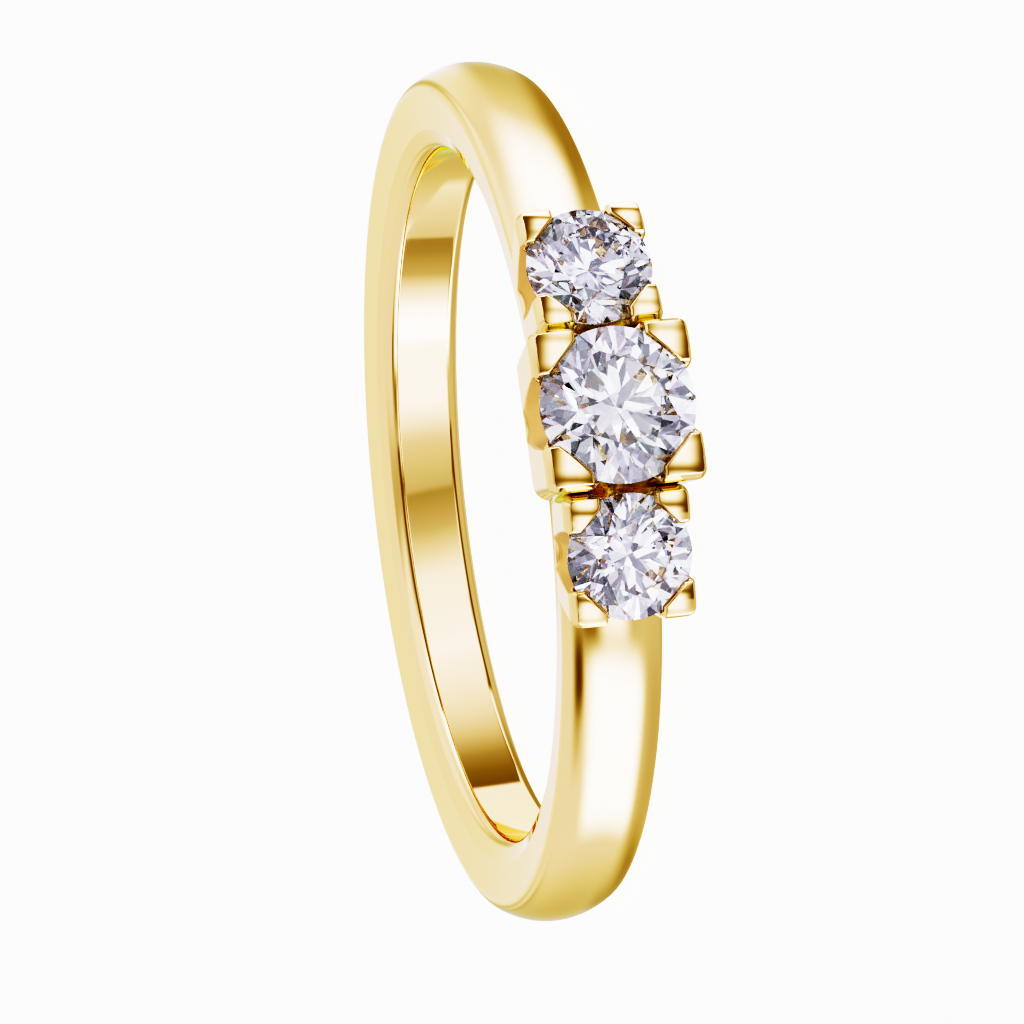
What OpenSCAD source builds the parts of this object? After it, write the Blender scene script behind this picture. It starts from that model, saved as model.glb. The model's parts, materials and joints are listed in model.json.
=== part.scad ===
// Three-stone diamond ring lying on its side. Millimetres, +Z up, floor below.
// The origin is the middle of the finger hole. The head with its stones faces +X.

/* [Band] */
// Diameter of the finger hole
hole_d = 17; // [15:0.5:20]
// Thickness of the band, from the hole to the middle of its outside
band_t = 2.1; // [1.9:0.1:2.5]
// Width of the band under the head
band_w_head = 2.5; // [2.4:0.05:2.8]
// Width of the band opposite the head
band_w_back = 2.25; // [2.1:0.05:2.5]
// Rise of the outside from its edges to its middle
crown_rise = 0.2; // [0.12:0.02:0.3]
// Radius of the soft outer edges
edge_r = 0.36; // [0.2:0.02:0.45]
// Height of the worn inner edge, out from the hole
comfort_h = 0.55; // [0.3:0.05:0.7]
// Width of the worn inner edge, along the hole
comfort_w = 0.21; // [0.1:0.01:0.3]
// How far the side face falls towards the hole
side_dip = 0.11; // [0.04:0.01:0.16]

/* [Diamonds] */
// Girdle diameter of the middle diamond
centre_d = 3.8; // [3.4:0.1:4]
// Girdle diameter of the two side diamonds
side_d = 3.05; // [2.7:0.05:3.2]
// Width of the table, as a part of the girdle diameter
table_part = 0.57; // [0.52:0.01:0.64]
// Thickness of the girdle, as a part of its diameter
girdle_part = 0.03; // [0.02:0.01:0.05]
// Slope of the crown's main facets in degrees
crown_angle = 34.5; // [32:0.5:36]
// Slope of the pavilion's main facets in degrees
pavilion_angle = 40.75; // [40:0.25:42]
// Clearance between a diamond and the metal round it
stone_gap = 0.03; // [0.02:0.01:0.05]

/* [Settings] */
// Height of the middle girdle above the outside of the band
centre_rise = 1.87; // [1.75:0.01:2.1]
// Height of the side girdles above the outside of the band
side_rise = 1.48; // [1.4:0.01:1.7]
// Distance of a side diamond from the middle line of the head
side_pitch = 3.5; // [3.4:0.02:3.8]
// Width and length of the middle setting at its claws
centre_box = 3.96; // [3.9:0.02:4.2]
// Width of a side setting at its claws, along the finger hole
side_box_w = 3.14; // [3.1:0.02:3.4]
// Length of a side setting at its claws, round the band
side_box_l = 3.24; // [3.2:0.02:3.4]
// Height of the claws above the girdle
claw_h = 0.27; // [0.2:0.01:0.35]
// Bevel round the outer edges of the claw tops
claw_bevel = 0.12; // [0.06:0.01:0.16]
// How far the flat of a claw reaches over the girdle
claw_reach = 0.02; // [0.01:0.01:0.1]
// Taper of a setting from its claws to its foot, on each side
box_taper = 0.17; // [0.05:0.01:0.25]
// Depth of the scooped hollow in each wall, between two claws
scoop_depth = 0.32; // [0.2:0.02:0.36]

/* [Hidden] */

gold = [0.93, 0.76, 0.36];
ice = [0.9, 0.9, 0.96];

// Band
hole_r = hole_d / 2;
band_r = hole_r + band_t;
side_z = (band_w_head + band_w_back) / 4;
side_tilt = atan((band_w_head - band_w_back) / 4 / band_r);
edge_turn = 55;
edge_step = 11;
side_round = 0.4;
edge_top_r = band_r - crown_rise;
crown_r = (pow(side_z - edge_r, 2) + pow(crown_rise, 2)) / (2 * crown_rise);
tool_reach = 1;
tool_r = band_r + tool_reach;
tool_z = side_z + 2 * tool_reach;
shape_fn = 96;

// Settings
centre_r = band_r + centre_rise;
side_r = band_r + side_rise;
side_angle = asin(side_pitch / side_r);
foot_sink = 0.5;
foot_r = band_r - foot_sink;
foot_round = 0.25;
corner_r = 0.28;
corner_fn = 32;
plate_t = 0.01;
floor_step = 0.1;
scoop_fn = 48;
pilot_part = 0.08;
pilot_drop = 0.3;
low_part = 0.24;

// Rest on the floor: the claws on one side and the back of the band touch it
claw_x = centre_r + claw_h - claw_bevel;
back_x = edge_top_r - edge_r;
rest_tilt = atan((centre_box - band_w_back) / 2 / (claw_x + back_x));

// Outline of the band's side, from the hole to past its outer edge
function edge_arc() = [
    for (turn = [0 : edge_step : edge_turn])
        [edge_top_r - edge_r * (1 - sin(turn)), side_z - edge_r * (1 - cos(turn))]
];
function past_edge(reach) =
    let (last = edge_arc()[len(edge_arc()) - 1])
    [last[0] + reach * cos(edge_turn), last[1] - reach * sin(edge_turn)];
function side_outline() = concat(
    [
        [hole_r - tool_reach, tool_z],
        [hole_r - tool_reach, side_z - side_dip - comfort_w * (1 + tool_reach / comfort_h)],
        [hole_r + comfort_h, side_z - side_dip],
        [hole_r + comfort_h + side_round / 2, side_z - side_dip / 4],
        [hole_r + comfort_h + side_round, side_z]
    ],
    edge_arc(),
    [past_edge(tool_reach), [tool_r, tool_z]]
);

// Everything that is cut away beyond one side of the band
module beyond_side() {
    rotate([0, -side_tilt, 0])
        rotate_extrude($fn = shape_fn)
            polygon(side_outline());
}

// Low domed hoop, a little wider under the head than opposite it
module band() {
    difference() {
        rotate_extrude($fn = shape_fn)
            intersection() {
                translate([band_r - crown_r, 0])
                    circle(r = crown_r, $fn = shape_fn);
                translate([hole_r, -tool_z])
                    square([tool_r - hole_r, 2 * tool_z]);
            }
        beyond_side();
        mirror([0, 0, 1])
            beyond_side();
    }
}

// Thin rounded plate, one level of a setting's outside
module level(length, width, inset) {
    for (x = [-1, 1], y = [-1, 1])
        translate([x * (width / 2 - inset - corner_r), y * (length / 2 - inset - corner_r), 0])
            cylinder(r = corner_r, h = plate_t, $fn = corner_fn);
}

// Outside of a setting: a rounded box that narrows to its foot
module box_block(length, width, depth) {
    hull() {
        translate([0, 0, claw_h - plate_t])
            level(length, width, claw_bevel);
        translate([0, 0, claw_h - claw_bevel])
            level(length, width, 0);
        translate([0, 0, foot_round - depth])
            level(length, width, box_taper);
        translate([0, 0, -depth])
            level(length, width, box_taper + foot_round);
    }
}

// Room for a diamond with its clearance, and a pilot hole under its point
module stone_room(d) {
    r = d / 2 + stone_gap;
    half = girdle_part * d / 2 + stone_gap;
    tip_r = pilot_part * d;
    crown_h = (r - tip_r) * tan(crown_angle);
    pavilion_h = (r - tip_r) * tan(pavilion_angle);
    translate([0, 0, -half])
        cylinder(r = r, h = 2 * half, $fn = shape_fn);
    translate([0, 0, half])
        cylinder(r1 = r, r2 = tip_r, h = crown_h, $fn = shape_fn);
    translate([0, 0, -half - pavilion_h - pilot_drop])
        cylinder(r = tip_r, h = pavilion_h + pilot_drop, $fn = scoop_fn);
    translate([0, 0, -half - pavilion_h])
        cylinder(r1 = tip_r, r2 = r, h = pavilion_h, $fn = shape_fn);
}

// One scoop in the wall that stands at a distance from the middle
module scoop(wall, half_w, depth) {
    r = (pow(half_w, 2) + pow(scoop_depth, 2)) / (2 * scoop_depth);
    translate([wall - scoop_depth + r, 0, foot_round + floor_step - depth])
        cylinder(r = r, h = depth + claw_h, $fn = scoop_fn);
}

// Four corner claws on a scooped box, its girdle level at the origin, opening to +Z
module setting(d, length, width, depth) {
    flat = d / 2 - claw_reach;
    gap_w = flat * sqrt(2) - width / 2;
    gap_l = flat * sqrt(2) - length / 2;
    wall = box_taper / 4;
    difference() {
        box_block(length, width, depth);
        translate([0, 0, -floor_step])
            rotate([0, 0, 45])
                translate([-flat, -flat, 0])
                    cube([2 * flat, 2 * flat, claw_h + 2 * floor_step]);
        for (side = [0, 180]) {
            rotate([0, 0, side])
                scoop(width / 2 - wall, gap_w, depth);
            rotate([0, 0, side + 90])
                scoop(length / 2 - wall, gap_l, depth);
        }
        stone_room(d);
    }
}

// Puts a setting or a stone on the head, its +Z turned outward at an angle
module on_head(angle, r) {
    rotate([0, 0, angle])
        translate([r, 0, 0])
            rotate([0, 90, 0])
                children();
}

// Lays the ring on its side as it rests on a floor
module laid_down() {
    rotate([0, -rest_tilt, 0])
        children();
}

// Brilliant cut: points at the corners of its facets, eight-fold round its axis
function ring_points(r, z, start) = [
    for (i = [0 : 7]) [r * cos(start + 45 * i), r * sin(start + 45 * i), z]
];

module brilliant(d) {
    r = d / 2;
    half = girdle_part * d / 2;
    table_r = table_part * r;
    crown_top = half + (r - table_r) * tan(crown_angle);
    star_r = (table_r * cos(22.5) + r) / 2;
    star_z = crown_top - (star_r * cos(22.5) - table_r) * tan(crown_angle);
    low_r = low_part * r;
    low_z = -half - (r - low_r * cos(22.5)) * tan(pavilion_angle);
    culet_z = -half - r * tan(pavilion_angle);
    // Rings of points, in this order: table, star, upper girdle, lower girdle, low, culet
    table_i = 0;
    star_i = 8;
    top_main = 16;
    top_mid = 24;
    base_main = 32;
    base_mid = 40;
    low_i = 48;
    culet_i = 56;
    points = concat(
        ring_points(table_r, crown_top, 0),
        ring_points(star_r, star_z, 22.5),
        ring_points(r, half, 0),
        ring_points(r, half, 22.5),
        ring_points(r, -half, 0),
        ring_points(r, -half, 22.5),
        ring_points(low_r, low_z, 22.5),
        [[0, 0, culet_z]]
    );
    table_face = [[for (i = [7 : -1 : 0]) table_i + i]];
    crown_faces = [
        for (i = [0 : 7])
            let (n = (i + 1) % 8, p = (i + 7) % 8)
            each [
                [table_i + i, table_i + n, star_i + i],
                [table_i + i, star_i + i, top_main + i, star_i + p],
                [star_i + i, top_mid + i, top_main + i],
                [star_i + i, top_main + n, top_mid + i]
            ]
    ];
    girdle_faces = [
        for (i = [0 : 7])
            let (n = (i + 1) % 8)
            each [
                [top_main + i, top_mid + i, base_mid + i, base_main + i],
                [top_mid + i, top_main + n, base_main + n, base_mid + i]
            ]
    ];
    pavilion_faces = [
        for (i = [0 : 7])
            let (n = (i + 1) % 8, p = (i + 7) % 8)
            each [
                [low_i + i, base_main + i, base_mid + i],
                [low_i + i, base_mid + i, base_main + n],
                [culet_i, low_i + p, base_main + i, low_i + i]
            ]
    ];
    polyhedron(points, concat(table_face, crown_faces, girdle_faces, pavilion_faces));
}

module band_and_settings() {
    color(gold)
        laid_down() {
            band();
            on_head(0, centre_r)
                setting(centre_d, centre_box, centre_box, centre_r - foot_r);
            for (side = [-1, 1])
                on_head(side * side_angle, side_r)
                    setting(side_d, side_box_l, side_box_w, side_r - foot_r);
        }
}

module centre_diamond() {
    color(ice)
        laid_down()
            on_head(0, centre_r)
                brilliant(centre_d);
}

module upper_side_diamond() {
    color(ice)
        laid_down()
            on_head(side_angle, side_r)
                brilliant(side_d);
}

module lower_side_diamond() {
    color(ice)
        laid_down()
            on_head(-side_angle, side_r)
                brilliant(side_d);
}

band_and_settings();
centre_diamond();
upper_side_diamond();
lower_side_diamond();
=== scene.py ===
import bmesh
import bpy
import json
import math
import numpy as np
from mathutils import Matrix, Vector


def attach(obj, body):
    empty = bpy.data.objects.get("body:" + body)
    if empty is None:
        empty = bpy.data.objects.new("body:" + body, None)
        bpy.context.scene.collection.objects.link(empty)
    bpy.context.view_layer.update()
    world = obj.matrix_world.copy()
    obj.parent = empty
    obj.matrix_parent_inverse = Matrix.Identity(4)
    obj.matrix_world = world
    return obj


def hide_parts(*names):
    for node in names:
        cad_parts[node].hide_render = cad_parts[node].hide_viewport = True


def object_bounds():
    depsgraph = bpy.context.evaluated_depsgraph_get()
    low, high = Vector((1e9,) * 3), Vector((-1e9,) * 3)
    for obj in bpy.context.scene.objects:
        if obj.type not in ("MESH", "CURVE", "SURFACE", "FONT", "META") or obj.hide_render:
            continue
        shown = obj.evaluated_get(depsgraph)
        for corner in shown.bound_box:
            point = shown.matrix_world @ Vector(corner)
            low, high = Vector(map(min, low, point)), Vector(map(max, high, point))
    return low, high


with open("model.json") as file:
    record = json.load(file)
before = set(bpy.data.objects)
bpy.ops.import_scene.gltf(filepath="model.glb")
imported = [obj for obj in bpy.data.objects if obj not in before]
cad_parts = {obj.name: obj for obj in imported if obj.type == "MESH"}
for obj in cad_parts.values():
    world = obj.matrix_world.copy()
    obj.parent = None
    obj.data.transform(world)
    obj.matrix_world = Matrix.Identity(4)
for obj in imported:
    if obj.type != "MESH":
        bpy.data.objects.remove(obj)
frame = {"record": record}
cad_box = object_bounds()

# Driving sizes in millimetres and degrees. Lengths in the scene are metres.
MM = 0.001
mount = frame["record"]["mounts"][0]
HOLE_R = mount["dims"]["r_mm"]
HOLE_AXIS = Vector(mount["axis"])
REST_TILT = math.degrees(math.atan2(-HOLE_AXIS.x, HOLE_AXIS.z))

# The band: its thickness, its widths under the head and opposite it, the rise of its dome, its edges,
# the worn inner bevel out from the hole and along it, and how far the side faces fall towards the hole
BAND_T = 2.1
BAND_W_HEAD = 2.5
BAND_W_BACK = 2.25
DOME_RISE = 0.2
OUTER_EDGE_R = 0.36
BEVEL_H = 0.55
BEVEL_W = 0.21
SIDE_DIP = 0.11
CREASE_R = 0.06
INNER_EDGE_R = 0.34
BAND_TURNS = 600
EDGE_STEPS = 18
DOME_STEPS = 24
FLAT_STEPS = 6

# The diamonds: girdle diameters, heights of the girdles over the band, the side ones' distance from the
# middle line of the head, and the cut, in parts of the girdle's size and in degrees
CENTRE_D = 3.8
SIDE_D = 3.05
CENTRE_RISE = 1.87
SIDE_RISE = 1.48
SIDE_PITCH = 3.5
TABLE_PART = 0.57
GIRDLE_PART = 0.03
CROWN_ANGLE = 34.5
PAVILION_ANGLE = 40.75
LOWER_PART = 0.24
FACETS_ROUND = 8
GIRDLE_SIDES = 96

# The settings' boxes at their claws
CENTRE_BOX = 3.96
SIDE_BOX_W = 3.14
SIDE_BOX_L = 3.24

# The claws: height over the girdle, part of the box that each takes, reach over the girdle, and their tops,
# which are pillows inside a slanted rim
CLAW_H = 0.34
CLAW_PART = 0.29
CLAW_REACH = 0.19
CLAW_BEVEL = 0.14
CLAW_EDGE_R = 0.05
PAD_EDGE_R = 0.02
PAD_ROUND = 0.5
PAD_SHIFT = 0.1
RIM_TILT = 60
INNER_BEVEL = 0.07

# The boxes below the claws, which narrow to a rounded foot sunk in the band
BOX_TAPER = 0.17
CORNER_R = 0.26
CORNER_SPREAD = 0.15
FOOT_SINK = 0.5
FOOT_ROUND = 0.25

# The hollows in the boxes' sides, and how near to them a face counts as theirs
SCOOP_DEPTH = 0.45
SCOOP_LEAN = 0.1
SCOOP_WIDER = 0.08
SCOOP_EDGE_R = 0.05
SCOOP_FLOOR = 0.1
SCOOP_FLOOR_R = 0.12
# a face this near to a hollow takes painted shade in the hollows across the band and painted light in those
# between the settings
HOLLOW_FACE_SKIN = 0.02

# The seats: clearance round a diamond, the flat between the claws, and the hole below the diamond's point
SEAT_EDGE_R = 0.03
STONE_GAP = 0.03
FLOOR_STEP = 0.09
PILOT_PART = 0.08
PILOT_FLOOR = 0.05

# The settings' skins: step of the grid, and how the points are pulled onto the surface
SKIN_STEP = 0.03
SKIN_PULLS = 4
LEAST_SLOPE = 0.5

# Colours of the gold, each with a deeper one that it clouds into
GOLD = (0.80, 0.605, 0.27, 1)
GOLD_DEEP = (0.785, 0.585, 0.25, 1)
# Paler gold in the hollows between the settings: painted light that lifts the shade in the gaps between them
GOLD_LIT_BETWEEN = (0.88, 0.76, 0.46, 1)
GOLD_LIT_BETWEEN_DEEP = (0.85, 0.72, 0.42, 1)
# Darker gold in the hollows across the band: painted shade for the dark recesses, on cast gold whose greater
# roughness is real
GOLD_CAST_SHADED = (0.68, 0.47, 0.17, 1)
GOLD_CAST_SHADED_DEEP = (0.56, 0.36, 0.11, 1)
GOLD_GRAZING = (1.0, 0.93, 0.68, 1)

# How closely the gold's colours cloud, and the traces of polishing: the height of the waviness, how close
# its waves, clouds and scratches are, and how much they roughen the gold. Scales are repeats per millimetre.
GOLD_SCALE = 0.4
WAVE_H = 0.003
WAVE_SCALE = 0.55
CLOUD_SCALE = 0.9
ROUGH_LEAST = 0.55
ROUGH_SPREAD = 0.9
SCRATCH_SCALE = 6.0
SCRATCH_STRETCH = 9.0
SCRATCH_START = 0.58
SCRATCH_FULL = 0.72
SCRATCH_ROUGH = 0.8
SCRATCH_DEPTH = 0.03

# The diamonds and the floor
DIAMOND_IOR = 2.42
WHITE = (1, 1, 1, 1)
CLEAR_DEEP = (0.97, 0.975, 0.985, 1)
CLEAR_SCALE = 1.3
FLOOR_GREY = (0.72, 0.72, 0.72, 1)
FLOOR_GREY_DEEP = (0.68, 0.68, 0.68, 1)
FLOOR_SCALE = 3.0
FLOOR_GLOW = 1.7
FLOOR_HALF = 2.0

# The studio's light: it is warm where it is dim and cool where it is bright, and shifts from mirror to mirror
SURROUND = 1.0
WARM_BELOW = 0.88
WARM_GREEN = 0.25
COOL_START = 0.5
COOL_SLOPE = 2.2
BLUE_LEAST = 0.05
BOUNCE_GREEN = 1.28
BOUNCE_BLUE = 2.0
MIRRORS_MOST = 3.0
BLUE_MIRRORS_MOST = 1.5
FILL_LIGHT = (0.6, 0.6, 0.6, 1)
BACKDROP = (3, 3, 3, 1)

# The same light as the diamonds see it, broken into bright and dark cells
STONE_TINT = (0.79, 0.785, 0.9)
STONE_CELLS = 3.2
STONE_DARK = 0.03
STONE_DARK_END = 0.08
STONE_LIT_START = 0.18
STONE_LEAST = 0.5
STONE_SPREAD = 0.8
STONE_FIRE = 0.12

# The picture's tone
TONE_POWER = 3
TONE_MIDDLE = 0.327
TONE_WHITE = 5.0
TONE_STEPS = 12

# Sizes that follow from the others
BAND_R = HOLE_R + BAND_T
SIDE_Z = (BAND_W_HEAD + BAND_W_BACK) / 4
WIDTH_SPREAD = (BAND_W_HEAD - BAND_W_BACK) / 4 / SIDE_Z
FOOT_R = BAND_R - FOOT_SINK
CENTRE_R = BAND_R + CENTRE_RISE
SIDE_R = BAND_R + SIDE_RISE
SIDE_ANGLE = math.degrees(math.asin(SIDE_PITCH / SIDE_R))

# Direction from the ring to the camera in the ring's own frame, up the hole's axis and round it from the
# head, and the place that the camera aims at, to its own right and up from the hole's middle
CAMERA_UP = 13.24
CAMERA_ROUND = -8.04
CAMERA_ROLL = -6.07
CAMERA_DISTANCE = 333.87
AIM_RIGHT = 0.120
AIM_UP = -0.498
LENS = 478.1
SENSOR = 36
CLIP_NEAR = 0.01
CLIP_FAR = 10


def ring_to_world():
    """Turns the ring's own frame, with the hole's axis as Z, into the frame in which it lies at rest."""
    return Matrix.Rotation(math.radians(-REST_TILT), 3, "Y")


RING = np.array(ring_to_world())


def to_world(points):
    """Points in millimetres in the ring's own frame, as metres in the scene."""
    return np.asarray(points, float) @ RING.T * MM


def unit(vector):
    vector = np.asarray(vector, float)
    return vector / np.linalg.norm(vector, axis=-1, keepdims=True)


def camera_axes():
    """Right, up and backward axes of the camera in the ring's own frame."""
    up_angle = math.radians(CAMERA_UP)
    round_angle = math.radians(CAMERA_ROUND)
    back = np.array([
        math.cos(up_angle) * math.cos(round_angle),
        math.cos(up_angle) * math.sin(round_angle),
        math.sin(up_angle),
    ])
    axis = np.array([0.0, 0.0, 1.0])
    right = -unit(axis - back * back[2])
    up = np.cross(back, right)
    roll = math.radians(CAMERA_ROLL)
    return (
        right * math.cos(roll) + up * math.sin(roll),
        up * math.cos(roll) - right * math.sin(roll),
        back,
    )


def add_camera():
    right, up, back = camera_axes()
    data = bpy.data.cameras.new("camera")
    data.lens = LENS
    data.sensor_width = SENSOR
    data.clip_start = CLIP_NEAR
    data.clip_end = CLIP_FAR
    camera = bpy.data.objects.new("camera", data)
    bpy.context.scene.collection.objects.link(camera)
    axes = (RING @ np.stack([right, up, back], axis=1))
    place = to_world(AIM_RIGHT * right + AIM_UP * up + CAMERA_DISTANCE * back)
    matrix = Matrix(axes.tolist()).to_4x4()
    matrix.translation = Vector(place)
    camera.matrix_world = matrix
    bpy.context.scene.camera = camera


def add_mesh(name, points, faces, normals=None):
    """A mesh object from points and normals in the ring's own frame."""
    mesh = bpy.data.meshes.new(name)
    mesh.from_pydata(to_world(points).tolist(), [], [list(map(int, face)) for face in faces])
    mesh.validate()
    mesh.update()
    thing = bpy.data.objects.new(name, mesh)
    bpy.context.scene.collection.objects.link(thing)
    if normals is not None:
        mesh.shade_smooth()
        mesh.normals_split_custom_set_from_vertices((np.asarray(normals) @ RING.T).tolist())
    return thing


# Band


def fillet(before, corner, after, radius, steps):
    """Points and normals of an arc of a given radius between two straight lines, left side outward."""
    to_before = unit(before - corner)
    to_after = unit(after - corner)
    half = math.acos(float(np.clip(to_before @ to_after, -1, 1))) / 2
    centre = corner + unit(to_before + to_after) * radius / math.sin(half)
    start = corner + to_before * radius / math.tan(half) - centre
    turn = math.pi - 2 * half
    sign = -math.copysign(1, np.cross(to_before, to_after))
    points = []
    for i in range(steps + 1):
        angle = sign * turn * i / steps
        c, s = math.cos(angle), math.sin(angle)
        arm = np.array([c * start[0] - s * start[1], s * start[0] + c * start[1]])
        points.append((centre + arm, arm / radius))
    return points


def band_section():
    """Half of the band's outline, from the middle of the hole's wall to the middle of the outside.

    Each entry is a point (distance from the axis, height along it) and its outward normal."""
    dome_r = ((SIDE_Z - OUTER_EDGE_R) ** 2 + DOME_RISE**2) / (2 * DOME_RISE)
    dome_x = BAND_R - dome_r
    edge_x = dome_x + math.sqrt((dome_r - OUTER_EDGE_R) ** 2 - (SIDE_Z - OUTER_EDGE_R) ** 2)
    edge = np.array([edge_x, SIDE_Z - OUTER_EDGE_R])
    wall = np.array([HOLE_R, 0.0])
    wall_top = np.array([HOLE_R, SIDE_Z - SIDE_DIP - BEVEL_W])
    crease = np.array([HOLE_R + BEVEL_H, SIDE_Z - SIDE_DIP])

    # the side face slopes from the crease to where it touches the outer edge's arc
    to_edge = edge - crease
    slope = math.atan2(to_edge[1], to_edge[0]) + math.asin(OUTER_EDGE_R / np.hypot(*to_edge))
    side_normal = np.array([-math.sin(slope), math.cos(slope)])
    side_end = edge + OUTER_EDGE_R * side_normal

    inner_edge = fillet(wall, wall_top, crease, INNER_EDGE_R, EDGE_STEPS)
    wall_end = inner_edge[0][0]
    inward = np.array([-1.0, 0.0])
    outline = [(wall_end * [1, i / FLAT_STEPS], inward) for i in range(FLAT_STEPS)] + inner_edge
    outline += fillet(wall_top, crease, side_end, CREASE_R, FLAT_STEPS)
    last = outline[-1][0]
    outline += [(last + (side_end - last) * i / FLAT_STEPS, side_normal) for i in range(1, FLAT_STEPS)]
    top_angle = math.atan2(edge[1], edge[0] - dome_x)
    start = math.pi / 2 + slope
    for i in range(EDGE_STEPS + 1):
        angle = start + (top_angle - start) * i / EDGE_STEPS
        arm = np.array([math.cos(angle), math.sin(angle)])
        outline.append((edge + OUTER_EDGE_R * arm, arm))
    for i in range(1, DOME_STEPS + 1):
        angle = top_angle * (1 - i / DOME_STEPS)
        arm = np.array([math.cos(angle), math.sin(angle)])
        outline.append((np.array([dome_x, 0.0]) + dome_r * arm, arm))
    return outline


def band_mesh():
    """Points, quads and normals of the band."""
    half = band_section()
    lower = [(p * [1, -1], n * [1, -1]) for p, n in half[1:-1]][::-1]
    loop = half + lower
    r, z = np.array([p for p, n in loop]).T
    nr, nz = np.array([n for p, n in loop]).T
    angle = np.arange(BAND_TURNS) * 2 * math.pi / BAND_TURNS
    wide = 1 + WIDTH_SPREAD * np.cos(angle)
    x = r[None] * np.cos(angle)[:, None]
    y = r[None] * np.sin(angle)[:, None]
    zz = z[None] * wide[:, None]
    points = np.stack([x, y, zz], -1).reshape(-1, 3)
    n_r = nr[None] * wide[:, None]
    n_z = np.broadcast_to(nz[None], n_r.shape)
    # the width changes round the band, which turns the normals a little along it
    n_t = z[None] * WIDTH_SPREAD * np.sin(angle)[:, None] / r[None] * nz[None]
    c, s = np.cos(angle)[:, None], np.sin(angle)[:, None]
    normals = unit(np.stack([n_r * c - n_t * s, n_r * s + n_t * c, n_z], -1).reshape(-1, 3))
    count = len(loop)
    turn = np.arange(BAND_TURNS)[:, None]
    place = np.arange(count)[None]
    next_turn = (turn + 1) % BAND_TURNS
    next_place = (place + 1) % count
    corners = ((turn, place), (turn, next_place), (next_turn, next_place), (next_turn, place))
    faces = np.stack([t * count + p for t, p in corners], -1).reshape(-1, 4)
    return points, faces, normals


# Settings


# The surfaces of a setting, in the order of its materials: polished gold, rougher cast gold that painted
# shade darkens, and paler gold with painted light in the gaps between settings
POLISHED, CAST_SHADED, LIT_BETWEEN = range(3)


def round_and(a, b, radius):
    """Both of two solids, given as distances that are negative inside, with a rounded edge."""
    inner = np.minimum(-radius, np.maximum(a, b))
    return inner + np.hypot(np.maximum(a + radius, 0), np.maximum(b + radius, 0))


def setting_field(girdle_d, width, length, depth):
    """The solid of one setting and the hollows in its sides, as distances that are negative inside.

    u runs along the hole's axis, t round the band and h outward, with h = 0 at the diamond's girdle."""
    flat = girdle_d / 2 - CLAW_REACH
    notch_u = width * (0.5 - CLAW_PART)
    notch_t = length * (0.5 - CLAW_PART)
    room_r = girdle_d / 2 + STONE_GAP
    room_half = GIRDLE_PART * girdle_d / 2 + STONE_GAP
    crown = math.radians(CROWN_ANGLE)
    pavilion = math.radians(PAVILION_ANGLE)
    scoop_floor = FOOT_ROUND + SCOOP_FLOOR - depth
    slant = math.sqrt(0.5)
    pad_r = PAD_ROUND * width
    pad_middle = flat * slant + PAD_SHIFT
    rim_low = CLAW_H - CLAW_BEVEL * math.tan(math.radians(RIM_TILT))
    rim_out = math.sin(math.radians(RIM_TILT))
    rim_up = math.cos(math.radians(RIM_TILT))

    def scoop(across, along, h, wall, half_gap):
        r = (half_gap**2 + SCOOP_DEPTH**2) / (2 * SCOOP_DEPTH)
        lean = SCOOP_LEAN * (CLAW_H - h)
        return np.hypot(across - (wall - SCOOP_DEPTH + r + lean), along) - r

    def hollows(u, t, h):
        """The hollows in the sides, between the claws: across the band and along it."""
        u = np.abs(u)
        t = np.abs(t)
        return (
            scoop(u, t, h, width / 2, notch_t + SCOOP_WIDER),
            scoop(t, u, h, length / 2, notch_u + SCOOP_WIDER),
        )

    def field(u, t, h):
        u = np.abs(u)
        t = np.abs(t)
        slope = (rim_low - h) / (rim_low + depth - FOOT_ROUND)
        inset = BOX_TAPER * slope
        corner = CORNER_R + CORNER_SPREAD * np.clip(slope, 0, 1)
        q_u = u - (width / 2 - inset - corner)
        q_t = t - (length / 2 - inset - corner)
        past_corner = np.hypot(np.maximum(q_u, 0), np.maximum(q_t, 0))
        before_corner = np.minimum(np.maximum(q_u, q_t), 0)
        walls = past_corner + before_corner - corner
        facing = (u + t) * slant - flat
        ends = (t - notch_t, u - notch_u)
        claw = np.minimum(facing, np.minimum(*ends))

        # the claw's top is a pillow, and its rims follow it
        pad_u = np.maximum(u, notch_u) - pad_middle
        pad_t = np.maximum(t, notch_t) - pad_middle
        pad = h - CLAW_H + (pad_u**2 + pad_t**2) / (2 * pad_r)
        rim = (walls + CLAW_BEVEL) * rim_out + pad * rim_up
        inner_rim = (INNER_BEVEL - claw + pad) * slant
        solid = round_and(walls, rim, CLAW_EDGE_R)
        solid = round_and(solid, round_and(pad, inner_rim, PAD_EDGE_R), PAD_EDGE_R)
        solid = round_and(solid, -depth - h, FOOT_ROUND)
        solid = round_and(solid, -np.maximum(claw, -FLOOR_STEP - h), CLAW_EDGE_R)
        for hollow in hollows(u, t, h):
            solid = round_and(solid, -round_and(hollow, scoop_floor - h, SCOOP_FLOOR_R), SCOOP_EDGE_R)

        # the room for the diamond follows its crown and pavilion, and the pilot hole is below its point
        r = np.hypot(u, t)
        past_girdle = r - room_r
        past_crown = (h - room_half) * math.cos(crown) + past_girdle * math.sin(crown)
        past_pavilion = (-room_half - h) * math.cos(pavilion) + past_girdle * math.sin(pavilion)
        room = np.maximum(np.maximum(past_girdle, past_crown), past_pavilion)
        pilot = np.maximum(r - PILOT_PART * girdle_d, PILOT_FLOOR * girdle_d - depth - h)
        return round_and(solid, -np.minimum(room, pilot), SEAT_EDGE_R)

    return field, hollows


def layer(axis, index):
    """Picks one layer of a three-way array across an axis."""
    return tuple(index if k == axis else slice(None) for k in range(3))


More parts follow.
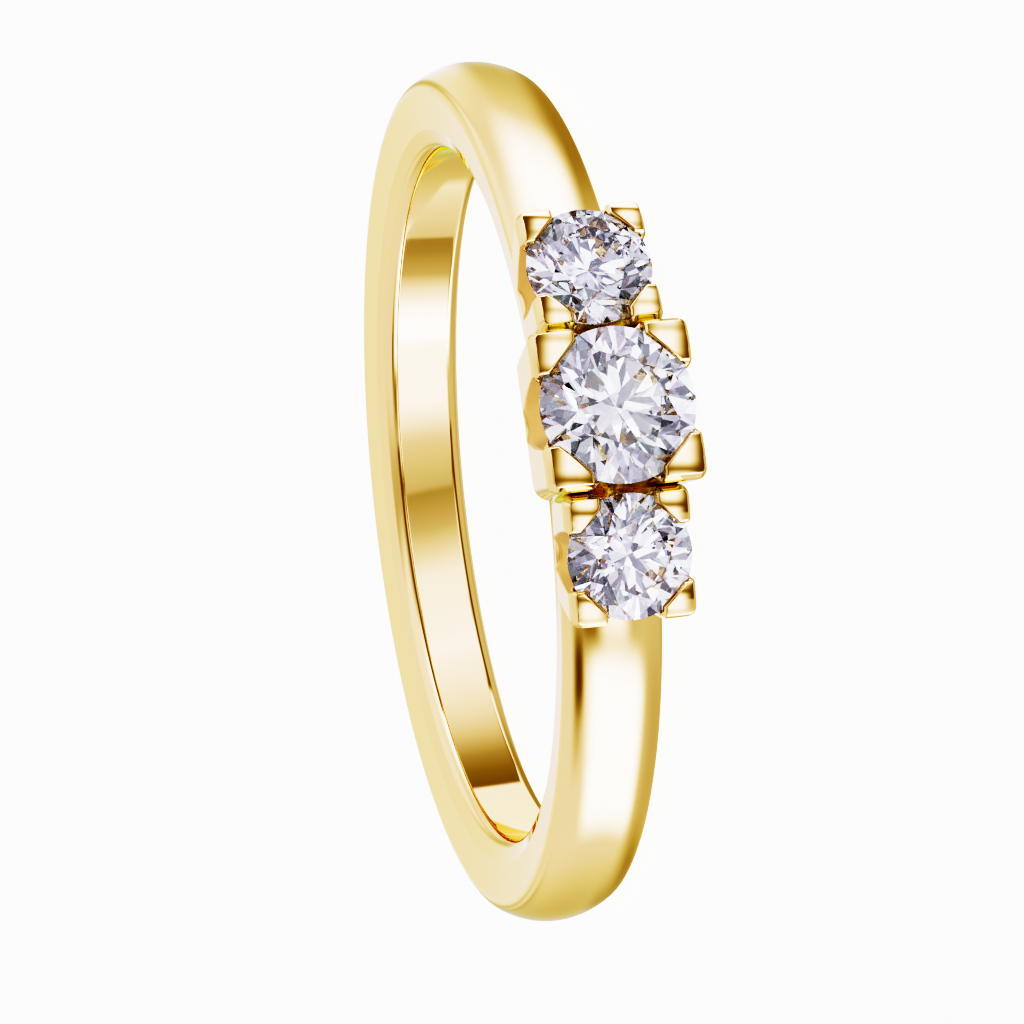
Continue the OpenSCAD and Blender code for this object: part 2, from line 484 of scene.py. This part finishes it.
def skin_of(field, low, high, step):
    """Points, quads and normals of the surface on which a field is zero, found on a grid of a given step."""
    axes = [np.arange(a, b + step, step) for a, b in zip(low, high)]
    value = field(*np.meshgrid(*axes, indexing="ij"))
    cells = tuple(n - 1 for n in value.shape)
    total = np.zeros(cells + (3,))
    count = np.zeros(cells)
    crossings = []
    for axis in range(3):
        ahead = np.roll(value, -1, axis)
        crossed = (value < 0) != (ahead < 0)
        others = [k for k in range(3) if k != axis]
        crossed[layer(axis, -1)] = False
        for k in others:
            crossed[layer(k, 0)] = False
            crossed[layer(k, -1)] = False
        where = np.argwhere(crossed)
        v0 = value[tuple(where.T)]
        v1 = ahead[tuple(where.T)]
        point = where.astype(float)
        point[:, axis] += v0 / (v0 - v1)
        corners = []
        for back in ((0, 0), (1, 0), (1, 1), (0, 1)):
            cell = where.copy()
            cell[:, others[0]] -= back[0]
            cell[:, others[1]] -= back[1]
            np.add.at(total, tuple(cell.T), point)
            np.add.at(count, tuple(cell.T), 1)
            corners.append(np.ravel_multi_index(tuple(cell.T), cells))
        quads = np.stack(corners, -1)
        flip = (v0 < 0) == (axis == 1)
        quads[flip] = quads[flip][:, ::-1]
        crossings.append(quads)
    used = np.flatnonzero(count.ravel())
    number = np.full(count.size, -1)
    number[used] = np.arange(len(used))
    faces = number[np.concatenate(crossings)]
    points = total.reshape(-1, 3)[used] / count.ravel()[used][:, None]
    points = np.array(low) + points * step
    tiny = step / 20

    def slope(at):
        return np.stack([
            field(*(at + tiny * direction).T) - field(*(at - tiny * direction).T) for direction in np.eye(3)
        ], -1) / (2 * tiny)

    for i in range(SKIN_PULLS):
        g = slope(points)
        steepness = np.maximum((g * g).sum(-1, keepdims=True), LEAST_SLOPE**2)
        move = field(*points.T)[:, None] * g / steepness
        points = points - np.clip(move, -step / 2, step / 2)
    return points, faces, unit(slope(points))


def head_axes(angle):
    """Axes of a setting, as rows: down the hole's axis, round the band and outward."""
    c, s = math.cos(math.radians(angle)), math.sin(math.radians(angle))
    return np.array([[0, 0, -1], [-s, c, 0], [c, s, 0]])


def add_setting(name, angle, radius, girdle_d, width, length):
    """A setting with its girdle level at a radius of the ring, its faces marked one by one as polished gold,
    cast gold with painted shade, and paler gold with painted light.
    """
    depth = radius - FOOT_R
    field, hollows = setting_field(girdle_d, width, length, depth)
    margin = 3 * SKIN_STEP
    low = (-width / 2 - margin, -length / 2 - margin, -depth - margin)
    high = (width / 2 + margin, length / 2 + margin, CLAW_H + margin)
    points, faces, normals = skin_of(field, low, high, SKIN_STEP)
    axes = head_axes(angle)
    place = points @ axes + radius * axes[2]
    setting = add_mesh(name, place, faces, normals @ axes)
    middles = points[faces].mean(1)
    across, along = (np.abs(away) < HOLLOW_FACE_SKIN for away in hollows(*middles.T))
    # faces in the hollows across the band get the darker gold of painted shade, faces in the hollows between
    # the settings the paler gold of painted light
    finish_and_painted_light = np.where(across, CAST_SHADED, np.where(along, LIT_BETWEEN, POLISHED))
    setting.data.polygons.foreach_set("material_index", finish_and_painted_light.astype(np.int32))
    return setting


# Diamonds


def brilliant_planes(d):
    """Facets of a round brilliant, each as a point on it and its outward normal."""
    r = d / 2
    half = GIRDLE_PART * r
    table_r = TABLE_PART * r
    crown = math.radians(CROWN_ANGLE)
    pavilion = math.radians(PAVILION_ANGLE)
    aside = math.pi / FACETS_ROUND
    top = half + (r - table_r) * math.tan(crown)
    star_r = (table_r * math.cos(aside) + r) / 2
    star_z = top - (star_r * math.cos(aside) - table_r) * math.tan(crown)
    low_r = LOWER_PART * r
    low_z = -half - (r - low_r * math.cos(aside)) * math.tan(pavilion)

    def at(radius, turn, z):
        return np.array([radius * math.cos(turn), radius * math.sin(turn), z])

    def through(a, b, c):
        normal = unit(np.cross(b - a, c - a))
        return a, normal * math.copysign(1, normal @ a)

    planes = [(np.array([0, 0, top]), np.array([0.0, 0.0, 1.0]))]
    for i in range(FACETS_ROUND):
        turn = i * 2 * aside
        table_corner = at(table_r, turn, top)
        next_corner = at(table_r, turn + 2 * aside, top)
        star_point = at(star_r, turn + aside, star_z)
        low_corners = at(low_r, turn + aside, low_z), at(low_r, turn - aside, low_z)
        planes.append(through(table_corner, star_point, at(r, turn, half)))
        planes.append(through(table_corner, next_corner, star_point))
        planes.append(through(*low_corners, at(r, turn, -half)))
        for side in (-1, 1):
            middle = turn + side * aside
            planes.append(through(at(star_r, middle, star_z), at(r, turn, half), at(r, middle, half)))
            planes.append(through(at(low_r, middle, low_z), at(r, turn, -half), at(r, middle, -half)))
    return planes


def add_diamond(name, angle, radius, d):
    """A brilliant, cut facet by facet from a round bar that is twice as long as it is wide."""
    shape = bmesh.new()
    bmesh.ops.create_cone(
        shape, cap_ends=True, segments=GIRDLE_SIDES, radius1=d / 2, radius2=d / 2, depth=2 * d
    )
    for point, normal in brilliant_planes(d):
        everything = shape.verts[:] + shape.edges[:] + shape.faces[:]
        cut = bmesh.ops.bisect_plane(
            shape, geom=everything, dist=1e-6, plane_co=point, plane_no=normal, clear_outer=True
        )
        edges = [e for e in cut["geom_cut"] if isinstance(e, bmesh.types.BMEdge)]
        bmesh.ops.contextual_create(shape, geom=edges)
    bmesh.ops.recalc_face_normals(shape, faces=shape.faces[:])
    axes = head_axes(angle)
    points = np.array([v.co[:] for v in shape.verts]) @ axes + radius * axes[2]
    shape.verts.ensure_lookup_table()
    faces = [[v.index for v in face.verts] for face in shape.faces]
    shape.free()
    return add_mesh(name, points, faces)


# Shared shader effects


def group_of(name, inputs, outputs):
    """An empty shader node group with named sockets, and its input and output nodes."""
    group = bpy.data.node_groups.new(name, "ShaderNodeTree")
    for socket, kind, value in inputs:
        made = group.interface.new_socket(name=socket, in_out="INPUT", socket_type="NodeSocket" + kind)
        made.default_value = value
    for socket, kind in outputs:
        group.interface.new_socket(name=socket, in_out="OUTPUT", socket_type="NodeSocket" + kind)
    return group, group.nodes.new("NodeGroupInput"), group.nodes.new("NodeGroupOutput")


def feed(tree, socket, value):
    """Links a socket to another socket, or sets it to a plain value."""
    if isinstance(value, bpy.types.NodeSocket):
        tree.links.new(value, socket)
    else:
        socket.default_value = value


def math_node(tree, operation, *values):
    node = tree.nodes.new("ShaderNodeMath")
    node.operation = operation
    for socket, value in zip(node.inputs, values):
        feed(tree, socket, value)
    return node.outputs[0]


def vector_node(tree, operation, *values):
    node = tree.nodes.new("ShaderNodeVectorMath")
    node.operation = operation
    for socket, value in zip(node.inputs, values):
        feed(tree, socket, value)
    return node.outputs["Value" if operation == "DOT_PRODUCT" else "Vector"]


def scale_vector(tree, vector, factor):
    node = tree.nodes.new("ShaderNodeVectorMath")
    node.operation = "SCALE"
    feed(tree, node.inputs["Vector"], vector)
    feed(tree, node.inputs["Scale"], factor)
    return node.outputs["Vector"]


def smooth_step(tree, value, low, high, start=0.0, end=1.0):
    node = tree.nodes.new("ShaderNodeMapRange")
    node.interpolation_type = "SMOOTHSTEP"
    for socket, given in zip(node.inputs, (value, low, high, start, end)):
        feed(tree, socket, given)
    return node.outputs[0]


def noise(tree, vector, scale, detail=2.0, roughness=0.5):
    node = tree.nodes.new("ShaderNodeTexNoise")
    feed(tree, node.inputs["Vector"], vector)
    node.inputs["Scale"].default_value = scale
    node.inputs["Detail"].default_value = detail
    node.inputs["Roughness"].default_value = roughness
    return node.outputs["Fac"]


def mix_colour(tree, mask, below, above):
    node = tree.nodes.new("ShaderNodeMix")
    node.data_type = "RGBA"
    feed(tree, node.inputs["Factor"], mask)
    feed(tree, node.inputs["A"], below)
    feed(tree, node.inputs["B"], above)
    return node.outputs["Result"]


def mix_value(tree, mask, below, above):
    node = tree.nodes.new("ShaderNodeMix")
    feed(tree, node.inputs["Factor"], mask)
    feed(tree, node.inputs["A"], below)
    feed(tree, node.inputs["B"], above)
    return node.outputs["Result"]


def use_group(tree, group, values):
    """Places a shared effect in a tree with values for its named sockets."""
    node = tree.nodes.new("ShaderNodeGroup")
    node.node_tree = group
    for socket, value in values.items():
        feed(tree, node.inputs[socket], value)
    return node


def make_polish():
    """Traces of polishing on metal: uneven roughness, faint scratches and a slight waviness."""
    group, given, out = group_of(
        "polish",
        [("Position", "Vector", (0, 0, 0)), ("Roughness", "Float", 0.05), ("Scratches", "Float", 0.3)],
        [("Roughness", "Float"), ("Height", "Float")],
    )
    place = given.outputs["Position"]
    cloud = noise(group, place, CLOUD_SCALE, 3.0)
    stretched = vector_node(group, "MULTIPLY", place, (1.0, 1.0, SCRATCH_STRETCH))
    lines = noise(group, stretched, SCRATCH_SCALE, 4.0, 0.6)
    scratch = smooth_step(group, lines, SCRATCH_START, SCRATCH_FULL)
    scratched = math_node(group, "MULTIPLY", scratch, given.outputs["Scratches"])
    rough = math_node(group, "MULTIPLY_ADD", cloud, ROUGH_SPREAD, ROUGH_LEAST)
    rough = math_node(group, "MULTIPLY_ADD", scratched, SCRATCH_ROUGH, rough)
    rough = math_node(group, "MULTIPLY", rough, given.outputs["Roughness"])
    group.links.new(rough, out.inputs["Roughness"])
    wave = noise(group, place, WAVE_SCALE, 1.0)
    height = math_node(group, "MULTIPLY_ADD", scratched, -SCRATCH_DEPTH, wave)
    group.links.new(height, out.inputs["Height"])
    return group


def new_material(name):
    material = bpy.data.materials.new(name)
    material.use_nodes = True
    tree = material.node_tree
    return material, tree, tree.nodes["Principled BSDF"]


def place_in_mm(tree):
    """The place on the piece in millimetres."""
    coords = tree.nodes.new("ShaderNodeTexCoord")
    return vector_node(tree, "MULTIPLY", coords.outputs["Object"], (1 / MM, 1 / MM, 1 / MM))


def make_gold(name, polish, roughness, scratches, deep=GOLD_DEEP, light=GOLD):
    """Gold that clouds between two colours, with its own share of the traces of polishing."""
    material, tree, shader = new_material(name)
    place = place_in_mm(tree)
    marks = use_group(tree, polish, {"Position": place, "Roughness": roughness, "Scratches": scratches})
    tint = mix_colour(tree, noise(tree, place, GOLD_SCALE), deep, light)
    feed(tree, shader.inputs["Base Color"], tint)
    shader.inputs["Metallic"].default_value = 1
    shader.inputs["Specular Tint"].default_value = GOLD_GRAZING
    feed(tree, shader.inputs["Roughness"], marks.outputs["Roughness"])
    bump = tree.nodes.new("ShaderNodeBump")
    bump.inputs["Strength"].default_value = 1
    bump.inputs["Distance"].default_value = WAVE_H * MM
    feed(tree, bump.inputs["Height"], marks.outputs["Height"])
    feed(tree, shader.inputs["Normal"], bump.outputs["Normal"])
    return material


def make_diamond():
    material, tree, shader = new_material("brilliant diamond")
    place = place_in_mm(tree)
    clear = mix_colour(tree, noise(tree, place, CLEAR_SCALE, 3.0), CLEAR_DEEP, WHITE)
    feed(tree, shader.inputs["Base Color"], clear)
    shader.inputs["Roughness"].default_value = 0
    shader.inputs["IOR"].default_value = DIAMOND_IOR
    shader.inputs["Transmission Weight"].default_value = 1
    return material


def make_floor():
    material, tree, shader = new_material("pale floor")
    place = place_in_mm(tree)
    grain = mix_colour(tree, noise(tree, place, FLOOR_SCALE), FLOOR_GREY_DEEP, FLOOR_GREY)
    feed(tree, shader.inputs["Base Color"], grain)
    shader.inputs["Roughness"].default_value = 0.6
    shader.inputs["Specular IOR Level"].default_value = 0.0
    shader.inputs["Emission Color"].default_value = WHITE
    shader.inputs["Emission Strength"].default_value = FLOOR_GLOW
    return material


# Studio


def make_studio_map():
    """Where a direction lies, in degrees across and up from the direction towards the camera."""
    group, given, out = group_of("studio map", [("Direction", "Vector", (0, 0, 1))], [("Place", "Vector")])
    direction = given.outputs["Direction"]
    right, up, back = (RING @ axis for axis in camera_axes())
    ahead = vector_node(group, "DOT_PRODUCT", direction, back.tolist())
    angle = math_node(group, "MULTIPLY", math_node(group, "ARCCOSINE", ahead), math.degrees(1))
    flat = group.nodes.new("ShaderNodeCombineXYZ")
    feed(group, flat.inputs["X"], vector_node(group, "DOT_PRODUCT", direction, right.tolist()))
    feed(group, flat.inputs["Y"], vector_node(group, "DOT_PRODUCT", direction, up.tolist()))
    heading = vector_node(group, "NORMALIZE", flat.outputs["Vector"])
    group.links.new(scale_vector(group, heading, angle), out.inputs["Place"])
    return group


def make_panel():
    """How much of a soft-edged panel covers a place on the studio map."""
    group, given, out = group_of(
        "studio panel",
        [
            ("Place", "Vector", (0, 0, 0)),
            ("Middle", "Vector", (0, 0, 0)),
            ("Half width", "Float", 20),
            ("Half height", "Float", 20),
            ("Side edge", "Float", 5),
            ("End edge", "Float", 5),
        ],
        [("Mask", "Float")],
    )
    away = vector_node(group, "SUBTRACT", given.outputs["Place"], given.outputs["Middle"])
    parts = group.nodes.new("ShaderNodeSeparateXYZ")
    feed(group, parts.inputs["Vector"], away)
    masks = []
    for axis, half, edge in (("X", "Half width", "Side edge"), ("Y", "Half height", "End edge")):
        side = math_node(group, "ABSOLUTE", parts.outputs[axis])
        low = math_node(group, "SUBTRACT", given.outputs[half], given.outputs[edge])
        high = math_node(group, "ADD", given.outputs[half], given.outputs[edge])
        masks.append(smooth_step(group, side, low, high, 1.0, 0.0))
    group.links.new(math_node(group, "MULTIPLY", *masks), out.inputs["Mask"])
    return group


def make_lamp_tint():
    """Tint of the studio's light: dim parts are warm, bright ones cool, and more so between two mirrors."""
    group, given, out = group_of(
        "lamp tint", [("Light", "Float", 1.0), ("Mirrors before", "Float", 0.0)], [("Color", "Color")]
    )
    light = given.outputs["Light"]
    before = math_node(group, "MAXIMUM", given.outputs["Mirrors before"], 0.0)
    before = math_node(group, "MINIMUM", before, MIRRORS_MOST)
    dim = math_node(group, "MAXIMUM", math_node(group, "SUBTRACT", WARM_BELOW, light), 0.0)
    green = math_node(group, "SUBTRACT", light, math_node(group, "MULTIPLY", dim, WARM_GREEN))
    green = math_node(group, "MULTIPLY", green, math_node(group, "POWER", BOUNCE_GREEN, before))
    blue = math_node(group, "MULTIPLY", math_node(group, "SUBTRACT", light, COOL_START), COOL_SLOPE)
    blue = math_node(group, "MAXIMUM", blue, math_node(group, "MULTIPLY", light, BLUE_LEAST))
    few = math_node(group, "MINIMUM", before, BLUE_MIRRORS_MOST)
    blue = math_node(group, "MULTIPLY", blue, math_node(group, "POWER", BOUNCE_BLUE, few))
    colour = group.nodes.new("ShaderNodeCombineColor")
    feed(group, colour.inputs["Red"], light)
    feed(group, colour.inputs["Green"], math_node(group, "MAXIMUM", green, 0.0))
    feed(group, colour.inputs["Blue"], blue)
    group.links.new(colour.outputs["Color"], out.inputs["Color"])
    return group


def make_stone_light():
    """The studio as the diamonds see it: many small bright and dark places, a few faintly coloured."""
    group, given, out = group_of(
        "stone light", [("Direction", "Vector", (0, 0, 1)), ("Light", "Float", 1.0)], [("Color", "Color")]
    )
    cells = group.nodes.new("ShaderNodeTexVoronoi")
    feed(group, cells.inputs["Vector"], given.outputs["Direction"])
    cells.inputs["Scale"].default_value = STONE_CELLS
    parts = group.nodes.new("ShaderNodeSeparateColor")
    feed(group, parts.inputs["Color"], cells.outputs["Color"])
    lit = smooth_step(group, parts.outputs["Red"], STONE_DARK_END, STONE_LIT_START, STONE_DARK, 1.0)
    level = math_node(group, "MULTIPLY_ADD", parts.outputs["Green"], STONE_SPREAD, STONE_LEAST)
    level = math_node(group, "MULTIPLY", math_node(group, "MULTIPLY", lit, level), given.outputs["Light"])
    fire = mix_colour(group, STONE_FIRE, WHITE, cells.outputs["Color"])
    tinted = vector_node(group, "MULTIPLY", fire, STONE_TINT)
    group.links.new(scale_vector(group, tinted, level), out.inputs["Color"])
    return group


# name, across and up on the studio map (degrees), half width, half height, side edge, end edge, light
PANELS = (
    ("far top left", -75, 140, 30, 50, 22, 20, 1.65),
    ("far top right", 100, 135, 55, 45, 22, 18, 0.7),
    ("far bottom right", 85, -128, 35, 27, 18, 14, 0.72),
    ("left", -143, -5, 42, 66, 14, 25, 1.55),
    ("upper left", -75, 45, 40, 42, 12, 10, 1.75),
    ("low left", -72, -65, 46, 42, 12, 14, 1.5),
    ("right", 88, 20, 26, 60, 10, 15, 1.15),
    ("top glow", -20, 100, 50, 32, 22, 26, 1.5),
    ("top key", 5, 72, 38, 33, 24, 18, 3.6),
    ("low glow", 5, -85, 70, 44, 20, 26, 1.5),
    ("low key", 29, -73, 38, 27, 13, 10, 3.6),
    ("low shade", -8, -35, 16, 8, 12, 7, 0.6),
    ("dim strip", -29, -50, 6, 25, 6, 12, 1.0),
    ("dark strip", -27, -50, 6, 10, 5, 8, 0.4),
    ("front frame", 24, 28, 42, 47, 7, 3, 0.4),
    ("front bridge", 24, 42, 18, 8, 12, 8, 0.9),
    ("front panel", 24, 20, 19, 19, 13, 9, 2.6),
    ("upper front panel", 24, 57, 18, 12, 13, 7, 2.6),
    ("lower front panel", 24, -24, 18, 15, 12, 6, 2.6),
)


def panels_light(tree, place):
    """Brightness of the surround with the panels on it, each over the ones before."""
    panel_group = make_panel()
    light = SURROUND
    for name, across, up, half_w, half_h, side_edge, end_edge, brightness in PANELS:
        panel = use_group(tree, panel_group, {
            "Place": place,
            "Middle": (across, up, 0),
            "Half width": half_w,
            "Half height": half_h,
            "Side edge": side_edge,
            "End edge": end_edge,
        })
        panel.label = name
        light = mix_value(tree, panel.outputs["Mask"], light, brightness)
    return light


def make_studio():
    """The surround with its panels, as the gold and the diamonds mirror it."""
    world = bpy.data.worlds.new("studio")
    bpy.context.scene.world = world
    world.use_nodes = True
    tree = world.node_tree
    direction = tree.nodes.new("ShaderNodeTexCoord").outputs["Generated"]
    studio_map = use_group(tree, make_studio_map(), {"Direction": direction})
    light = panels_light(tree, studio_map.outputs["Place"])
    rays = tree.nodes.new("ShaderNodeLightPath")

    # mirrors that a ray met before the last one, taken as one where it came through a diamond
    clear_way = math_node(tree, "LESS_THAN", rays.outputs["Transmission Depth"], 0.5)
    before = math_node(tree, "SUBTRACT", rays.outputs["Glossy Depth"], 2.0)
    before = math_node(tree, "MULTIPLY_ADD", before, clear_way, 1.0)

    tint = use_group(tree, make_lamp_tint(), {"Light": light, "Mirrors before": before})
    stone = use_group(tree, make_stone_light(), {"Direction": direction, "Light": light})
    through_stone = rays.outputs["Is Transmission Ray"]
    off_stone = rays.outputs["Is Singular Ray"]
    of_stone = math_node(tree, "MAXIMUM", through_stone, off_stone)
    colour = mix_colour(tree, of_stone, tint.outputs["Color"], stone.outputs["Color"])
    colour = mix_colour(tree, rays.outputs["Is Diffuse Ray"], colour, FILL_LIGHT)
    colour = mix_colour(tree, rays.outputs["Is Camera Ray"], colour, BACKDROP)
    tree.links.new(colour, tree.nodes["Background"].inputs["Color"])


def add_floor(low):
    """A wide floor at the ring's lowest point, which the gold and the diamonds don't mirror."""
    half = FLOOR_HALF
    mesh = bpy.data.meshes.new("floor")
    corners = [(-half, -half, low), (half, -half, low), (half, half, low), (-half, half, low)]
    mesh.from_pydata(corners, [], [(0, 1, 2, 3)])
    floor = bpy.data.objects.new("floor", mesh)
    bpy.context.scene.collection.objects.link(floor)
    floor.visible_glossy = False
    floor.visible_transmission = False
    mesh.materials.append(make_floor())


# Small cards beside the ring, which the hole's wall mirrors. Each has a place and size in millimetres
# along the camera's axes, the axis along which it shades, and stops of (place, light, cover).
CARDS = (
    ("low card", "back", (5.0, -8.4), 3.2, (
        (-20, 1.8, 0), (-17, 1.8, 1), (-8.5, 1.3, 1), (-8.3, 0.75, 1), (-7, 0.8, 1), (-5, 1.05, 1),
        (-3, 1.5, 0.7), (-1, 2.0, 0),
    )),
    ("high card", "back", (2.0, 8.6), 3.2, (
        (-60, 1.9, 0), (-50, 1.9, 1), (-12.7, 2.0, 1), (-12.4, 0.5, 1), (-10, 0.6, 1), (-8, 0.8, 1),
        (-4.5, 1.6, 1), (-1, 2.1, 1), (1, 2.2, 1), (2, 2.2, 0),
    )),
    ("front card", "up", (3.2, 0.0), 2.0, (
        (-8, 2.6, 0), (-7, 2.6, 1), (-3, 2.5, 1), (-1.5, 1.4, 1), (-0.1, 1.1, 1), (0, 0.8, 1),
        (1, 1.1, 1), (2.5, 2.1, 1), (7, 2.4, 1), (10, 2.2, 0),
    )),
)


def lamp_colour(light):
    """The same tint as the studio's, for one brightness."""
    dim = max(WARM_BELOW - light, 0)
    return light, max(light - WARM_GREEN * dim, 0), max(COOL_SLOPE * (light - COOL_START), BLUE_LEAST * light)


def make_card_glow(name, stops):
    """A glow that runs through stops along a card, and that the diamonds don't mirror."""
    first, last = stops[0][0], stops[-1][0]
    material = bpy.data.materials.new(name)
    material.use_nodes = True
    tree = material.node_tree
    tree.nodes.clear()
    coords = tree.nodes.new("ShaderNodeTexCoord")
    parts = tree.nodes.new("ShaderNodeSeparateXYZ")
    feed(tree, parts.inputs["Vector"], coords.outputs["UV"])
    ramp = tree.nodes.new("ShaderNodeValToRGB")
    elements = ramp.color_ramp.elements
    while len(elements) < len(stops):
        elements.new(0.5)
    for element, (where, light, cover) in zip(elements, stops):
        element.position = (where - first) / (last - first)
        element.color = (*lamp_colour(light), cover)
    feed(tree, ramp.inputs[0], parts.outputs["Y"])
    glow = tree.nodes.new("ShaderNodeEmission")
    feed(tree, glow.inputs["Color"], ramp.outputs["Color"])
    clear = tree.nodes.new("ShaderNodeBsdfTransparent")
    rays = tree.nodes.new("ShaderNodeLightPath")
    of_gold = math_node(tree, "SUBTRACT", 1.0, rays.outputs["Is Singular Ray"])
    mix = tree.nodes.new("ShaderNodeMixShader")
    feed(tree, mix.inputs[0], math_node(tree, "MULTIPLY", ramp.outputs["Alpha"], of_gold))
    tree.links.new(clear.outputs[0], mix.inputs[1])
    tree.links.new(glow.outputs[0], mix.inputs[2])
    out = tree.nodes.new("ShaderNodeOutputMaterial")
    tree.links.new(mix.outputs[0], out.inputs[0])
    return material


def add_card(name, axis, place, half_width, stops):
    """A glowing card that only the gold mirrors, bright and dim along one axis."""
    right, up, back = camera_axes()
    first, last = stops[0][0], stops[-1][0]
    corners = []
    for side, end in ((-1, first), (1, first), (1, last), (-1, last)):
        across = (place[0] + side * half_width) * right
        if axis == "back":
            corners.append(across + end * back + place[1] * up)
        else:
            corners.append(across + end * up + place[1] * back)
    card = add_mesh(name, corners, [(0, 1, 2, 3)])
    uv = card.data.uv_layers.new(name="along")
    for loop, v in zip(uv.data, (0, 0, 1, 1)):
        loop.uv = (0, v)
    card.data.materials.append(make_card_glow(name, stops))
    card.visible_camera = False
    card.visible_diffuse = False
    card.visible_transmission = False
    card.visible_shadow = False


def tone(light):
    """Brightness of the picture for a light, rising steeply in the middle."""
    return light**TONE_POWER / (light**TONE_POWER + TONE_MIDDLE)


def set_picture_tone():
    """Tone of the picture: a plain view with a steep curve, as product photographs have."""
    scene = bpy.context.scene
    scene.view_settings.view_transform = "Standard"
    scene.view_settings.use_curve_mapping = True
    mapping = scene.view_settings.curve_mapping
    mapping.white_level = (TONE_WHITE,) * 3
    mapping.clip_max_x = 1
    curve = mapping.curves[3]
    for i in range(1, TONE_STEPS):
        x = (i / TONE_STEPS) ** 2
        y = tone(x * TONE_WHITE) / tone(TONE_WHITE)
        curve.points.new(x, y)
    mapping.update()


def set_light_paths():
    """Enough bounces for light inside the diamonds and between the settings."""
    paths = bpy.context.scene.cycles
    paths.max_bounces = 24
    paths.glossy_bounces = 16
    paths.transmission_bounces = 24
    paths.diffuse_bounces = 3
    paths.blur_glossy = 0
    paths.sample_clamp_indirect = 0
    paths.caustics_reflective = True
    paths.caustics_refractive = True


# Pieces


add_camera()
band = add_mesh("band", *band_mesh())
settings = [
    add_setting("centre_setting", 0, CENTRE_R, CENTRE_D, CENTRE_BOX, CENTRE_BOX),
    add_setting("upper_side_setting", SIDE_ANGLE, SIDE_R, SIDE_D, SIDE_BOX_W, SIDE_BOX_L),
    add_setting("lower_side_setting", -SIDE_ANGLE, SIDE_R, SIDE_D, SIDE_BOX_W, SIDE_BOX_L),
]
polish = make_polish()
finishes_and_painted_light = {
    POLISHED: make_gold("polished gold settings", polish, 0.05, 0.2),
    # rougher cast gold, made darker by painted shade in the hollows across the band
    CAST_SHADED: make_gold("cast gold in the hollows", polish, 0.3, 0.6, GOLD_CAST_SHADED_DEEP, GOLD_CAST_SHADED),
    # slightly rougher gold, made paler by painted light that lifts the shade between the settings
    LIT_BETWEEN: make_gold("gold between the settings", polish, 0.12, 0.4, GOLD_LIT_BETWEEN_DEEP, GOLD_LIT_BETWEEN),
}
band.data.materials.append(make_gold("polished gold band", polish, 0.05, 0.5))
for piece in settings:
    for finish_and_painted_light in (POLISHED, CAST_SHADED, LIT_BETWEEN):
        piece.data.materials.append(finishes_and_painted_light[finish_and_painted_light])
for piece in [band] + settings:
    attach(piece, "root")
    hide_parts("band_and_settings")

diamond = make_diamond()
for name, angle, radius, d in (
    ("centre_diamond", 0, CENTRE_R, CENTRE_D),
    ("upper_side_diamond", SIDE_ANGLE, SIDE_R, SIDE_D),
    ("lower_side_diamond", -SIDE_ANGLE, SIDE_R, SIDE_D),
):
    stone = add_diamond(name + "_cut", angle, radius, d)
    stone.data.materials.append(diamond)
    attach(stone, "root")
    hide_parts(name)

add_floor(cad_box[0][2])
make_studio()
for card in CARDS:
    add_card(*card)
set_picture_tone()
set_light_paths()
